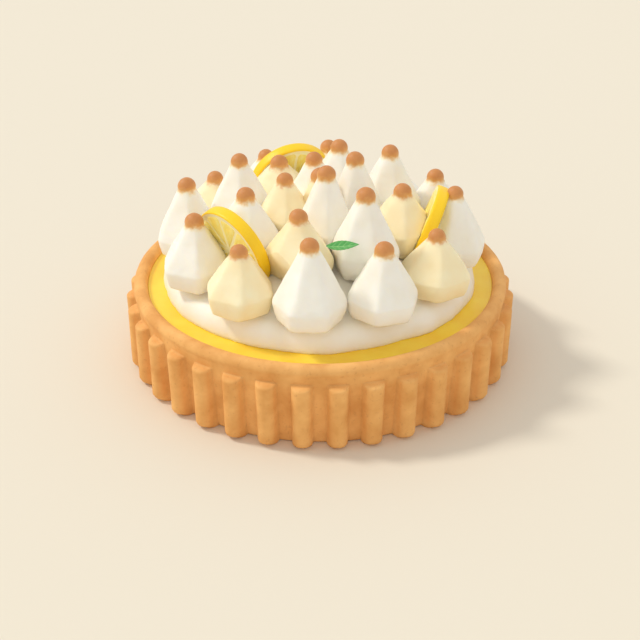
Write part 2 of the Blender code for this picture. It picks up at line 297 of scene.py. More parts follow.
tree.links.new(speckled.outputs[2], shader.inputs["Base Color"])
grain = add_node(tree, "ShaderNodeTexNoise",
                 {"Scale": 1 / PASTRY_GRAIN, "Detail": 4.0, "Roughness": 0.7},
                 {"Vector": where})
relief = add_node(tree, "ShaderNodeBump", {"Strength": 0.45, "Distance": 0.35 * MM},
                  {"Height": grain.outputs[0]})
tree.links.new(relief.outputs[0], shader.inputs["Normal"])

# The flutes are pushed out of the plain wall by a rule on the angle and the height
tree, given = new_shape_tree("tin_pressed_flutes", {
    "Flutes": "Float", "Half Width": "Float", "Crest": "Float", "Top": "Float",
    "Wall": "Float", "Rise": "Float"})
spot = add_node(tree, "GeometryNodeInputPosition").outputs[0]
axes = add_node(tree, "ShaderNodeSeparateXYZ", {}, {0: spot}).outputs
angle = add_node(
    tree, "ShaderNodeMath", {"operation": "ARCTAN2"}, axes[0],
    add_node(tree, "ShaderNodeMath", {"operation": "MULTIPLY"}, axes[1], -1.0))
radius = add_node(
    tree, "ShaderNodeMath", {"operation": "SQRT"},
    add_node(
        tree, "ShaderNodeMath", {"operation": "ADD"},
        add_node(tree, "ShaderNodeMath", {"operation": "MULTIPLY"}, axes[0], axes[0]),
        add_node(tree, "ShaderNodeMath", {"operation": "MULTIPLY"}, axes[1], axes[1])))
turns = add_node(
    tree, "ShaderNodeMath", {"operation": "MULTIPLY"},
    add_node(tree, "ShaderNodeMath", {"operation": "DIVIDE"}, angle, 2 * math.pi),
    given["Flutes"])
from_crest = add_node(
    tree, "ShaderNodeMath", {"operation": "ABSOLUTE"},
    add_node(
        tree, "ShaderNodeMath", {"operation": "SUBTRACT"},
        add_node(
            tree, "ShaderNodeMath", {"operation": "FRACT"},
            add_node(tree, "ShaderNodeMath", {"operation": "ADD"}, turns, 1000.0)),
        0.5))
across = add_node(
    tree, "ShaderNodeMath", {"operation": "DIVIDE", "use_clamp": True}, from_crest,
    given["Half Width"])
round_rib = add_node(
    tree, "ShaderNodeMath", {"operation": "POWER"},
    add_node(
        tree, "ShaderNodeMath", {"operation": "SUBTRACT"}, 1.0,
        add_node(tree, "ShaderNodeMath", {"operation": "POWER"}, across, 2.4)),
    0.55)
# blunt top and rounded foot of each rib
below_top = add_node(
    tree, "ShaderNodeMath", {"operation": "DIVIDE", "use_clamp": True},
    add_node(tree, "ShaderNodeMath", {"operation": "SUBTRACT"}, given["Top"], axes[2]), 2.2 * MM)
top_fade = add_node(
    tree, "ShaderNodeMath", {"operation": "POWER"},
    add_node(
        tree, "ShaderNodeMath", {"operation": "SUBTRACT"}, 1.0,
        add_node(
            tree, "ShaderNodeMath", {"operation": "POWER"},
            add_node(tree, "ShaderNodeMath", {"operation": "SUBTRACT"}, 1.0, below_top), 2.6)),
    0.6)
above_foot = add_node(
    tree, "ShaderNodeMath", {"operation": "DIVIDE", "use_clamp": True}, axes[2], 4.5 * MM)
foot_fade = add_node(
    tree, "ShaderNodeMath", {"operation": "POWER"},
    add_node(
        tree, "ShaderNodeMath", {"operation": "SUBTRACT"}, 1.0,
        add_node(
            tree, "ShaderNodeMath", {"operation": "POWER"},
            add_node(tree, "ShaderNodeMath", {"operation": "SUBTRACT"}, 1.0, above_foot), 2.2)),
    0.5)
foot_fade = add_node(tree, "ShaderNodeMath", {"operation": "MAXIMUM"}, foot_fade, 0.62)
on_wall = add_node(tree, "ShaderNodeMath", {"operation": "GREATER_THAN"}, radius, given["Wall"])
depth = add_node(tree, "ShaderNodeMath", {"operation": "SUBTRACT"}, given["Crest"], radius)
push = add_node(
    tree, "ShaderNodeMath", {"operation": "MULTIPLY"},
    add_node(tree, "ShaderNodeMath", {"operation": "MULTIPLY"}, round_rib, depth),
    add_node(
        tree, "ShaderNodeMath", {"operation": "MULTIPLY"},
        add_node(tree, "ShaderNodeMath", {"operation": "MULTIPLY"}, top_fade, foot_fade), on_wall))
swell = add_node(tree, "ShaderNodeTexNoise", {"Scale": 1 / (24 * MM), "Detail": 3.0},
                 {"Vector": spot})
above_table = add_node(
    tree, "ShaderNodeMath", {"operation": "DIVIDE", "use_clamp": True}, axes[2], 10 * MM)
rise = add_node(
    tree, "ShaderNodeMath", {"operation": "MULTIPLY"},
    add_node(
        tree, "ShaderNodeMath", {"operation": "MULTIPLY"},
        add_node(tree, "ShaderNodeMath", {"operation": "SUBTRACT"}, swell.outputs[0], 0.62),
        given["Rise"]),
    above_table)
outward = add_node(
    tree, "ShaderNodeMath", {"operation": "ADD"}, push,
    add_node(tree, "ShaderNodeMath", {"operation": "MULTIPLY"}, rise, 2.0))
sideways = add_node(tree, "ShaderNodeCombineXYZ", {}, {
    0: add_node(
        tree, "ShaderNodeMath", {"operation": "MULTIPLY"},
        add_node(tree, "ShaderNodeMath", {"operation": "DIVIDE"}, axes[0], radius), outward),
    1: add_node(
        tree, "ShaderNodeMath", {"operation": "MULTIPLY"},
        add_node(tree, "ShaderNodeMath", {"operation": "DIVIDE"}, axes[1], radius), outward),
    2: add_node(tree, "ShaderNodeMath", {"operation": "MULTIPLY"}, rise, 2.0)})
moved = add_node(tree, "GeometryNodeSetPosition",
                 {}, {"Geometry": given["Geometry"], "Offset": sideways.outputs[0]})
close_tree(tree, moved.outputs[0], pastry)

bm = bmesh.new()
turn_angles = [2 * math.pi * (i + 0.5) / CASE_COLUMNS for i in range(CASE_COLUMNS)]
stack_rings(bm, [[turned_point(radius, angle, height) for angle in turn_angles]
                 for radius, height in case_outline()],
            bottom=(0, 0, 0), top=(0, 0, FLOOR_TOP))
case = mesh_object("baked_case", bm)
bake_nodes(case, tree, {"Flutes": float(FLUTES), "Half Width": FLUTE_HALF_WIDTH,
                        "Crest": FLUTE_CREST, "Top": FLUTE_TOP,
                        "Wall": WALL_AT_FOOT - 2.5 * MM, "Rise": BAKING_RISE})
finish_piece(case, "pastry_case")


# ------------------------------------------------------------------ lemon curd
# Egg, lemon juice, sugar and butter, cooked thick and poured into the baked case, where it
# set with a glossy, almost level top and a thin rise where it wets the crust.

curd_low, curd_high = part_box("lemon_curd")
CURD_RADIUS = curd_high[0] + 0.5 * MM
CURD_TOP = curd_high[2]
CURD_COLUMNS = 240

# Set curd: opaque, smooth and wet-looking, deeper yellow where it is thick.
curd_finish, tree, shader = new_material("set_lemon_curd", 0.35, Specular_IOR_Level=0.4)
where = add_node(tree, "ShaderNodeTexCoord").outputs["Object"]
clouds = add_node(tree, "ShaderNodeTexNoise", {"Scale": 1 / (22 * MM), "Detail": 3.0},
                  {"Vector": where})
tones = add_node(tree, "ShaderNodeValToRGB", {}, {"Fac": clouds.outputs[0]})
tones.color_ramp.elements[0].position = 0.3
tones.color_ramp.elements[0].color = linear("FBCC36")
tones.color_ramp.elements[1].position = 0.7
tones.color_ramp.elements[1].color = linear("FFDE48")
tree.links.new(tones.outputs[0], shader.inputs["Base Color"])
ripple = add_node(tree, "ShaderNodeTexNoise", {"Scale": 1 / (5 * MM), "Detail": 2.0},
                  {"Vector": where})
relief = add_node(tree, "ShaderNodeBump", {"Strength": 0.25, "Distance": 0.4 * MM},
                  {"Height": ripple.outputs[0]})
tree.links.new(relief.outputs[0], shader.inputs["Normal"])


def curd_height(radius, angle):
    """Level of the curd, with slow waves and a rise at the crust."""
    place = turned_point(radius, angle, 0)
    wave = noise.noise(place * 45) * 0.5 + noise.noise(place * 110) * 0.2
    climb = max(0.0, 1 - (CURD_RADIUS - radius) / (3 * MM)) ** 2
    return CURD_TOP - 0.5 * MM + wave * 0.9 * MM * (1 - climb) + climb * 0.6 * MM


bm = bmesh.new()
turn_angles = [2 * math.pi * i / CURD_COLUMNS for i in range(CURD_COLUMNS)]
curd_sides = [[turned_point(CURD_RADIUS - inset * MM, angle, height) for angle in turn_angles]
              for inset, height in ((5, curd_low[2]), (2.5, 0.6 * CURD_TOP),
                                    (0.2, 0.94 * CURD_TOP))]
curd_face = [[turned_point(CURD_RADIUS - inset * MM, angle,
                           curd_height(CURD_RADIUS - inset * MM, angle)) for angle in turn_angles]
             for inset in (0, 0.5, 1, 1.6, 2.4, 3.4, 5, 7, 9, 12, 15, 19, 24, 32, 45, 65, 85)]
stack_rings(bm, curd_sides + curd_face, bottom=(0, 0, curd_low[2]),
            top=(0, 0, curd_height(0, 0)))
curd = mesh_object("poured_curd", bm, curd_finish)
finish_piece(curd, "lemon_curd")


# ------------------------------------------------------------------ bed of meringue
# Whipped egg white and sugar, spooned over the curd and spread into a dome whose edge stays
# wavy. The spoon leaves soft hollows and folds.

BED_RADIUS = 91.5 * MM
# Radius of the wavy edge in mm, every 15 degrees from the front towards +X
BED_EDGE = (89.3, 87.5, 87.3, 90.4, 91.1, 92.8, 92.4, 90.6, 91.8, 92.5, 90.2, 91.0,
            92.0, 90.6, 91.8, 92.4, 90.4, 92.3, 94.0, 92.5, 92.2, 90.4, 89.1, 88.0)
# Its thick side, as mm in from the edge and mm above the table
BED_SIDE = ((2.5, 44.6), (0.8, 45.0), (0.1, 46.0), (0.0, 47.4), (0.3, 49.3), (0.9, 51.4),
            (1.8, 53.4), (3.1, 55.3), (5.0, 57.0), (7.5, 58.4))
BED_EDGE_TOP = 56.5 * MM
BED_DOME = 22.0 * MM
BED_SHOULDER = 1.0
BED_COLUMNS = 300
BED_STEPS = 24
FOAM_BUBBLE = 0.8 * MM              # real bubbles are finer; drawn as coarse as they show


def bed_edge(angle):
    """Radius of the edge, eased between the points of BED_EDGE, with small ripples."""
    place = angle / (2 * math.pi) * len(BED_EDGE)
    step = math.floor(place)
    ease = (1 - math.cos(math.pi * (place - step))) / 2
    near, far = (BED_EDGE[i % len(BED_EDGE)] for i in (step, step + 1))
    ripple = 0.5 * noise.noise(turned_point(20.0, angle, 0.0))
    return (near + (far - near) * ease + ripple) * MM


def bed_height(radius):
    inside = max(0.0, 1 - (radius / BED_RADIUS) ** 2)
    return BED_EDGE_TOP + BED_DOME * inside ** BED_SHOULDER


def meringue_material(name, colour, shade):
    """Whipped meringue: satin, very pale, with a soft foam grain and light scattered inside."""
    material, tree, shader = new_material(
        name, 0.5, Specular_IOR_Level=0.35, Subsurface_Weight=0.25, Subsurface_Scale=4 * MM)
    shader.inputs["Subsurface Radius"].default_value = (1.0, 0.85, 0.6)
    where = add_node(tree, "ShaderNodeTexCoord").outputs["Object"]
    clouds = add_node(tree, "ShaderNodeTexNoise", {"Scale": 1 / (14 * MM), "Detail": 2.0},
                      {"Vector": where})
    tones = add_node(tree, "ShaderNodeMix",
                     {"data_type": "RGBA", 6: linear(shade), 7: linear(colour)},
                     {0: add_node(
                         tree, "ShaderNodeMath", {"operation": "MULTIPLY", "use_clamp": True},
                         add_node(
                             tree, "ShaderNodeMath", {"operation": "SUBTRACT"}, clouds.outputs[0],
                             0.3),
                         2.5)})
    foam = add_node(tree, "ShaderNodeTexNoise",
                    {"Scale": 1 / FOAM_BUBBLE, "Detail": 3.0, "Roughness": 0.6},
                    {"Vector": where})
    relief = add_node(tree, "ShaderNodeBump", {"Strength": 0.22, "Distance": 0.25 * MM},
                      {"Height": foam.outputs[0]})
    tree.links.new(relief.outputs[0], shader.inputs["Normal"])
    return material, tree, shader, tones.outputs[2]


bed_finish, tree, shader, tones = meringue_material("spread_meringue", "FDF7EA", "FAF1DE")
tree.links.new(tones, shader.inputs["Base Color"])


def bed_point(step, angle):
    """A point on top of the bed: step 0 is at the top of its side and the last is the middle."""
    radius = (bed_edge(angle) - BED_SIDE[-1][0] * MM) * (1 - step / BED_STEPS)
    place = turned_point(radius, angle, 0)
    folds = noise.noise(place * 38 + Vector((3, 1, 7))) + 0.5 * noise.noise(place * 90)
    blend = min(1.0, step / 5)
    height = BED_SIDE[-1][1] * MM * (1 - blend) + bed_height(radius) * blend
    return turned_point(radius, angle, height + (folds * 1.3 - 0.3) * MM * blend)


bm = bmesh.new()
turn_angles = [2 * math.pi * i / BED_COLUMNS for i in range(BED_COLUMNS)]
bed_rings = [[turned_point(bed_edge(a) - inset * MM, a, height * MM) for a in turn_angles]
             for inset, height in BED_SIDE]
bed_rings += [[bed_point(step, a) for a in turn_angles] for step in range(1, BED_STEPS)]
stack_rings(bm, bed_rings, bottom=(0, 0, BED_SIDE[0][1] * MM), top=bed_point(BED_STEPS, 0))
bed = mesh_object("spread_bed", bm, bed_finish)
finish_piece(bed, "meringue_bed")


# ------------------------------------------------------------------ piped kisses
# The same meringue, some of it tinted with lemon yolk, piped through a six-point nozzle in
# rings from the edge inwards. Each kiss is round below, tapers straight up to a blunt tip,
# and keeps six soft ridges. A flame browned the tips.

KISS_COLUMNS = 96
KISS_ROWS = 84
KISS_RIDGES = 6
RIDGE_SHARPNESS = 16.0              # higher is crisper
BELLY_RISE = 20.5 * MM              # above the ring's own foot height
FOOT_SINK = 1.2 * MM                # how far each kiss sinks into the bed
KISS_ROUND = 0.92                   # how nearly its underside closes, that far below the belly
TIP_RADIUS = 5.2 * MM
NECK_RADIUS = 4.2 * MM
KISS_TWIST = math.radians(10)
FOAM_SAG = 1.1 * MM                 # how far the soft foam moved out of true
CREAM_KISSES = ("outer_03", "outer_09", "outer_12", "middle_01", "middle_03", "middle_06",
                "inner_04", "centre_01")
FRONT_RIDGES = {"outer_01": 28, "outer_02": -14, "outer_03": 0, "outer_12": 3,
                "middle_02": 15, "middle_03": 2}

# The tip is caramelised sugar: satin brown, darker at the very point, with a thin golden halo
# where the flame only just caught the foam.


def torched_meringue(name, colour, shade):
    material, tree, shader, tones = meringue_material(name, colour, shade)
    where = add_node(tree, "ShaderNodeTexCoord").outputs["Object"]
    toast = add_node(tree, "ShaderNodeAttribute", {"attribute_name": "toast"}).outputs["Fac"]
    ragged = add_node(tree, "ShaderNodeTexNoise", {"Scale": 1 / (3.2 * MM), "Detail": 3.0},
                      {"Vector": where})
    reach = add_node(
        tree, "ShaderNodeMath", {"operation": "ADD"}, toast,
        add_node(
            tree, "ShaderNodeMath", {"operation": "MULTIPLY"},
            add_node(tree, "ShaderNodeMath", {"operation": "SUBTRACT"}, ragged.outputs[0], 0.5),
            0.34))
    brown = add_node(tree, "ShaderNodeValToRGB", {}, {"Fac": reach})
    ramp = brown.color_ramp
    ramp.elements[0].position = 0.30
    ramp.elements[0].color = linear("F7E3B8")
    ramp.elements[1].position = 0.46
    ramp.elements[1].color = linear("E0A663")
    darker = ramp.elements.new(0.62)
    darker.color = linear("D29155")
    darkest = ramp.elements.new(1.0)
    darkest.color = linear("C17F47")
    cover = add_node(
        tree, "ShaderNodeMath", {"operation": "MULTIPLY", "use_clamp": True},
        add_node(tree, "ShaderNodeMath", {"operation": "SUBTRACT"}, reach, 0.22), 7.0)
    mixed = add_node(tree, "ShaderNodeMix", {"data_type": "RGBA"},
                     {0: cover, 6: tones, 7: brown.outputs[0]})
    tree.links.new(mixed.outputs[2], shader.inputs["Base Color"])
    return material


white_kiss = torched_meringue("torched_white_meringue", "FBF7EC", "F7F0E1")
cream_kiss = torched_meringue("torched_lemon_meringue", "FFF1CA", "FDE7B8")


def kiss_tree(name, material):
    """Shapes a unit grid into a kiss: x is the way round, y the way up."""
    tree, given = new_shape_tree(name, {
        "Place": "Vector", "Height": "Float", "Belly": "Float", "Belly Rise": "Float",
        "Foot": "Float", "Tip": "Float", "Neck": "Float", "Ridges": "Float",
        "Sharpness": "Float", "Turn": "Float", "Twist": "Float", "Sag": "Float",
        "Seed": "Float"})
    grid = add_node(tree, "GeometryNodeMeshGrid",
                    {"Size X": 1.0, "Size Y": 1.0, "Vertices X": KISS_COLUMNS + 1,
                     "Vertices Y": KISS_ROWS + 1})
    spot = add_node(tree, "GeometryNodeInputPosition").outputs[0]
    axes = add_node(tree, "ShaderNodeSeparateXYZ", {}, {0: spot}).outputs
    angle = add_node(
        tree, "ShaderNodeMath", {"operation": "MULTIPLY"},
        add_node(tree, "ShaderNodeMath", {"operation": "ADD"}, axes[0], 0.5), 2 * math.pi)
    climb = add_node(
        tree, "ShaderNodeMath", {"operation": "SINE"},
        add_node(
            tree, "ShaderNodeMath", {"operation": "MULTIPLY"},
            add_node(tree, "ShaderNodeMath", {"operation": "ADD"}, axes[1], 0.5), math.pi / 2))
    height = add_node(tree, "ShaderNodeMath", {"operation": "MULTIPLY"}, climb, given["Height"])
    # the round lower half
    under = add_node(
        tree, "ShaderNodeMath", {"operation": "SUBTRACT"}, 1.0,
        add_node(tree, "ShaderNodeMath", {"operation": "DIVIDE"}, height, given["Belly Rise"]))
    under = add_node(tree, "ShaderNodeMath", {"operation": "MAXIMUM"}, under, 0.0)
    foot_depth = add_node(
        tree, "ShaderNodeMath", {"operation": "SQRT"},
        add_node(
            tree, "ShaderNodeMath", {"operation": "SUBTRACT"}, 1.0,
            add_node(tree, "ShaderNodeMath", {"operation": "POWER"}, given["Foot"], 2.0)))
    tucked = add_node(
        tree, "ShaderNodeMath", {"operation": "SQRT"},
        add_node(
            tree, "ShaderNodeMath", {"operation": "SUBTRACT"}, 1.0,
            add_node(
                tree, "ShaderNodeMath", {"operation": "POWER"},
                add_node(tree, "ShaderNodeMath", {"operation": "MULTIPLY"}, under, foot_depth),
                2.0)))
    # the straight taper above it
    tip_centre = add_node(
        tree, "ShaderNodeMath", {"operation": "SUBTRACT"}, given["Height"], given["Tip"])
    above = add_node(
        tree, "ShaderNodeMath", {"operation": "DIVIDE", "use_clamp": True},
        add_node(tree, "ShaderNodeMath", {"operation": "SUBTRACT"}, height, given["Belly Rise"]),
        add_node(
            tree, "ShaderNodeMath", {"operation": "SUBTRACT"}, tip_centre, given["Belly Rise"]))
    taper = add_node(tree, "ShaderNodeMath", {"operation": "POWER"}, above, 1.12)
    narrowing = add_node(
        tree, "ShaderNodeMath", {"operation": "MULTIPLY"}, taper,
        add_node(
            tree, "ShaderNodeMath", {"operation": "SUBTRACT"}, given["Belly"], given["Neck"]))
    body = add_node(
        tree, "ShaderNodeMath", {"operation": "SUBTRACT"},
        add_node(tree, "ShaderNodeMath", {"operation": "MULTIPLY"}, given["Belly"], tucked),
        narrowing)
    body = add_node(
        tree, "ShaderNodeMath", {"operation": "MULTIPLY"}, body,
        add_node(tree, "ShaderNodeMath", {"operation": "LESS_THAN"}, height, tip_centre))
    # the rounded tip
    off_tip = add_node(tree, "ShaderNodeMath", {"operation": "SUBTRACT"}, height, tip_centre)
    tip_square = add_node(
        tree, "ShaderNodeMath", {"operation": "SUBTRACT"},
        add_node(tree, "ShaderNodeMath", {"operation": "POWER"}, given["Tip"], 2.0),
        add_node(tree, "ShaderNodeMath", {"operation": "MULTIPLY"}, off_tip, off_tip))
    tip = add_node(
        tree, "ShaderNodeMath", {"operation": "SQRT"},
        add_node(tree, "ShaderNodeMath", {"operation": "MAXIMUM"}, tip_square, 0.0))
    round_radius = add_node(
        tree, "ShaderNodeMath", {"operation": "SMOOTH_MAX"}, body, tip, 0.8 * MM)
    ends = add_node(
        tree, "ShaderNodeMath", {"operation": "MULTIPLY"},
        add_node(tree, "ShaderNodeMath", {"operation": "GREATER_THAN"}, axes[1], -0.4999),
        add_node(tree, "ShaderNodeMath", {"operation": "LESS_THAN"}, axes[1], 0.4999))
    round_radius = add_node(tree, "ShaderNodeMath", {"operation": "MULTIPLY"}, round_radius, ends)
    # six soft ridges, turned a little from foot to tip
    heading = add_node(
        tree, "ShaderNodeMath", {"operation": "SUBTRACT"}, angle,
        add_node(
            tree, "ShaderNodeMath", {"operation": "ADD"}, given["Turn"],
            add_node(tree, "ShaderNodeMath", {"operation": "MULTIPLY"}, climb, given["Twist"])))
    sector = add_node(tree, "ShaderNodeMath", {"operation": "DIVIDE"}, 2 * math.pi, given["Ridges"])
    from_ridge = add_node(
        tree, "ShaderNodeMath", {"operation": "PINGPONG"},
        add_node(tree, "ShaderNodeMath", {"operation": "ADD"}, heading, 40 * math.pi),
        add_node(tree, "ShaderNodeMath", {"operation": "MULTIPLY"}, sector, 0.5))
    from_flat = add_node(
        tree, "ShaderNodeMath", {"operation": "SUBTRACT"},
        add_node(tree, "ShaderNodeMath", {"operation": "MULTIPLY"}, sector, 0.5), from_ridge)
    near = add_node(
        tree, "ShaderNodeMath", {"operation": "POWER"},
        add_node(tree, "ShaderNodeMath", {"operation": "COSINE"}, from_flat), given["Sharpness"])
    far = add_node(
        tree, "ShaderNodeMath", {"operation": "POWER"},
        add_node(
            tree, "ShaderNodeMath", {"operation": "COSINE"},
            add_node(tree, "ShaderNodeMath", {"operation": "SUBTRACT"}, sector, from_flat)),
        given["Sharpness"])
    polygon = add_node(
        tree, "ShaderNodeMath", {"operation": "POWER"},
        add_node(tree, "ShaderNodeMath", {"operation": "ADD"}, near, far),
        add_node(tree, "ShaderNodeMath", {"operation": "DIVIDE"}, -1.0, given["Sharpness"]))
    polygon = add_node(tree, "ShaderNodeMath", {"operation": "MULTIPLY"}, polygon, 0.885)
    plain = add_node(
        tree, "ShaderNodeMath", {"operation": "DIVIDE", "use_clamp": True},
        add_node(tree, "ShaderNodeMath", {"operation": "SUBTRACT"}, round_radius, given["Tip"]),
        6 * MM)
    section = add_node(
        tree, "ShaderNodeMath", {"operation": "ADD"}, 1.0,
        add_node(
            tree, "ShaderNodeMath", {"operation": "MULTIPLY"},
            add_node(tree, "ShaderNodeMath", {"operation": "SUBTRACT"}, polygon, 1.0), plain))
    radius = add_node(tree, "ShaderNodeMath", {"operation": "MULTIPLY"}, round_radius, section)
    upright = add_node(tree, "ShaderNodeCombineXYZ", {}, {
        0: add_node(
            tree, "ShaderNodeMath", {"operation": "MULTIPLY"}, radius,
            add_node(tree, "ShaderNodeMath", {"operation": "SINE"}, angle)),
        1: add_node(
            tree, "ShaderNodeMath", {"operation": "MULTIPLY"}, radius,
            add_node(
                tree, "ShaderNodeMath", {"operation": "MULTIPLY"},
                add_node(tree, "ShaderNodeMath", {"operation": "COSINE"}, angle), -1.0)),
        2: height})
    # the foam's own unevenness grows away from the ends
    sag = add_node(tree, "ShaderNodeTexNoise",
                   {"noise_dimensions": "4D", "Scale": 1 / (13 * MM), "Detail": 2.5},
                   {"Vector": upright.outputs[0], "W": given["Seed"]})
    centred = add_node(tree, "ShaderNodeVectorMath", {"operation": "SUBTRACT", 1: (0.5, 0.5, 0.5)},
                       {0: sag.outputs["Color"]})
    loose = add_node(
        tree, "ShaderNodeMath", {"operation": "DIVIDE", "use_clamp": True}, radius,
        given["Belly"])
    drift = add_node(tree, "ShaderNodeVectorMath", {"operation": "SCALE"},
                     {0: centred.outputs[0], "Scale": add_node(
                         tree, "ShaderNodeMath", {"operation": "MULTIPLY"},
                         add_node(
                             tree, "ShaderNodeMath", {"operation": "MULTIPLY"}, loose,
                             given["Sag"]),
                         2.0)})
    bent = add_node(tree, "ShaderNodeVectorMath", {"operation": "ADD"},
                    {0: upright.outputs[0], 1: drift.outputs[0]})
    placed = add_node(tree, "ShaderNodeVectorMath", {"operation": "ADD"},
                      {0: bent.outputs[0], 1: given["Place"]})
    # how far the flame reached: 0 on the body, 1 at the point
    flame = add_node(
        tree, "ShaderNodeMath", {"operation": "DIVIDE", "use_clamp": True},
        add_node(
            tree, "ShaderNodeMath", {"operation": "SUBTRACT"}, height,
            add_node(
                tree, "ShaderNodeMath", {"operation": "SUBTRACT"}, tip_centre,
                add_node(tree, "ShaderNodeMath", {"operation": "MULTIPLY"}, given["Tip"], 1.25))),
        add_node(tree, "ShaderNodeMath", {"operation": "MULTIPLY"}, given["Tip"], 2.6))
    stored = add_node(tree, "GeometryNodeStoreNamedAttribute",
                      {"data_type": "FLOAT", "domain": "POINT", "Name": "toast"},
                      {"Geometry": grid.outputs["Mesh"], "Value": flame})
    moved = add_node(tree, "GeometryNodeSetPosition",
                     {}, {"Geometry": stored.outputs[0], "Position": placed.outputs[0]})
    welded = add_node(tree, "GeometryNodeMergeByDistance", {"Distance": 0.01 * MM},
                      {"Geometry": moved.outputs[0]})
    close_tree(tree, welded.outputs[0], material)
    return tree


white_tree = kiss_tree("piped_white_kiss", white_kiss)
cream_tree = kiss_tree("piped_lemon_kiss", cream_kiss)

# ring radius, angle of the first kiss in degrees, belly radius and foot height, as in the frame
KISS_RINGS = {
    "outer": (78 * MM, -4.0, 12, 20.4 * MM, 51.5 * MM),
    "middle": (48.5 * MM, -14.0, 8, 20.0 * MM, 64.0 * MM),
    "inner": (20.5 * MM, 10.0, 4, 17.0 * MM, 69.0 * MM),
    "centre": (0.0, 0.0, 1, 15.0 * MM, 68.0 * MM),
}
draw = random.Random(11)
kisses = []
for ring, (ring_radius, first, count, belly, foot) in KISS_RINGS.items():
    for number in range(count):
        label = f"{ring}_{number + 1:02d}"
        tip_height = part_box(f"kiss_{label}")[1][2]
        foot_height = bed_height(ring_radius) - FOOT_SINK
        below_belly = foot + BELLY_RISE - foot_height
        place = turned_point(ring_radius, math.radians(first + 360 / count * number), foot_height)
        turn = FRONT_RIDGES.get(label, draw.uniform(0, 60))
        kiss = mesh_object(f"kiss_{label}_piped", bmesh.new())
        bake_nodes(kiss, cream_tree if label in CREAM_KISSES else white_tree, {
            "Place": place, "Height": tip_height - foot_height,
            "Belly": belly * draw.uniform(0.97, 1.04),
            "Belly Rise": below_belly * draw.uniform(0.95, 1.08),
            "Foot": math.sqrt(1 - (KISS_ROUND * below_belly / BELLY_RISE) ** 2),
            "Tip": TIP_RADIUS * draw.uniform(0.94, 1.06), "Neck": NECK_RADIUS,
            "Ridges": float(KISS_RIDGES), "Sharpness": RIDGE_SHARPNESS,
            "Turn": math.radians(turn), "Twist": KISS_TWIST * draw.uniform(0.4, 1.3),
            "Sag": FOAM_SAG, "Seed": draw.uniform(0, 50)})
        finish_piece(kiss, f"kiss_{label}")
        kisses.append(kiss)


# ------------------------------------------------------------------ lemon wheels
# Slices cut straight across a lemon and pushed on edge between the kisses. Each has a thin
# oily rind, a ring of white pith, and segments of juice sacs between pale membranes.

WHEEL_RADIUS = 26 * MM
WHEEL_THICKNESS = 7.2 * MM
RIND = 1.1 * MM
PITH = 1.5 * MM
SEGMENTS = 10
MEMBRANE = 0.9 * MM                 # full width between two segments
CORE = 1.8 * MM
SEGMENT_CORNER = 1.6 * MM
WHEELS = {
    "left": (59.0 * MM, -55.0, 81.7 * MM, -46.0, 15.0),
    "back": (63.3 * MM, -163.0, 82.8 * MM, 21.0, 18.0),
    "right": (62.8 * MM, 85.0, 80.5 * MM, 80.0, 20.0),
}

# Lemon rind: oily and slightly glossy, with small pits of the oil glands.
rind_finish, tree, shader = new_material("lemon_rind", 0.42, Specular_IOR_Level=0.4)
shader.inputs["Base Color"].default_value = linear("FFD21C")
where = add_node(tree, "ShaderNodeTexCoord").outputs["Object"]
glands = add_node(tree, "ShaderNodeTexVoronoi", {"Scale": 1 / (1.5 * MM)}, {"Vector": where})
pits = add_node(
    tree, "ShaderNodeMath", {"operation": "SUBTRACT", "use_clamp": True}, 1.0,
    add_node(tree, "ShaderNodeMath", {"operation": "MULTIPLY"}, glands.outputs[0], 1.6))
relief = add_node(tree, "ShaderNodeBump", {"Strength": 0.35, "Distance": 0.25 * MM, "invert": True},
                  {"Height": pits})
tree.links.new(relief.outputs[0], shader.inputs["Normal"])

# Pith and membranes: matt, soft and off-white, faintly yellow from the juice.
pith_finish, tree, shader = new_material("lemon_pith", 0.65)
where = add_node(tree, "ShaderNodeTexCoord").outputs["Object"]
fibres = add_node(tree, "ShaderNodeTexNoise", {"Scale": 1 / (0.9 * MM), "Detail": 3.0},
                  {"Vector": where})
tones = add_node(tree, "ShaderNodeMix",
                 {"data_type": "RGBA", 6: linear("FFF2B4"), 7: linear("FFF8D0")},
                 {0: fibres.outputs[0]})
tree.links.new(tones.outputs[2], shader.inputs["Base Color"])
relief = add_node(tree, "ShaderNodeBump", {"Strength": 0.3, "Distance": 0.2 * MM},
                  {"Height": fibres.outputs[0]})
tree.links.new(relief.outputs[0], shader.inputs["Normal"])

# Flesh: long juice sacs that run from the core outwards, wet and a little translucent. The
# sacs are drawn along each wedge by its own UV map: u goes outwards and v across.
flesh_finish, tree, shader = new_material(
    "lemon_flesh", 0.3, Specular_IOR_Level=0.5, Subsurface_Weight=0.15,
    Subsurface_Scale=3 * MM)
shader.inputs["Subsurface Radius"].default_value = (1.0, 0.9, 0.3)
along = add_node(tree, "ShaderNodeUVMap", {"uv_map": "sacs"}).outputs[0]
stretched = add_node(tree, "ShaderNodeMapping", {"Scale": (3.0, 9.0, 1.0)}, {"Vector": along})
sacs = add_node(tree, "ShaderNodeTexVoronoi", {"Scale": 1.0, "feature": "F1"},
                {"Vector": stretched.outputs[0]})
tones = add_node(tree, "ShaderNodeValToRGB", {}, {"Fac": sacs.outputs["Distance"]})
tones.color_ramp.elements[0].position = 0.05
tones.color_ramp.elements[0].color = linear("FFF096")
tones.color_ramp.elements[1].position = 0.75
tones.color_ramp.elements[1].color = linear("FFE46E")
tree.links.new(tones.outputs[0], shader.inputs["Base Color"])
plump = add_node(tree, "ShaderNodeMath", {"operation": "SUBTRACT"}, 1.0, sacs.outputs["Distance"])
relief = add_node(tree, "ShaderNodeBump", {"Strength": 0.5, "Distance": 0.5 * MM},
                  {"Height": plump})
tree.links.new(relief.outputs[0], shader.inputs["Normal"])


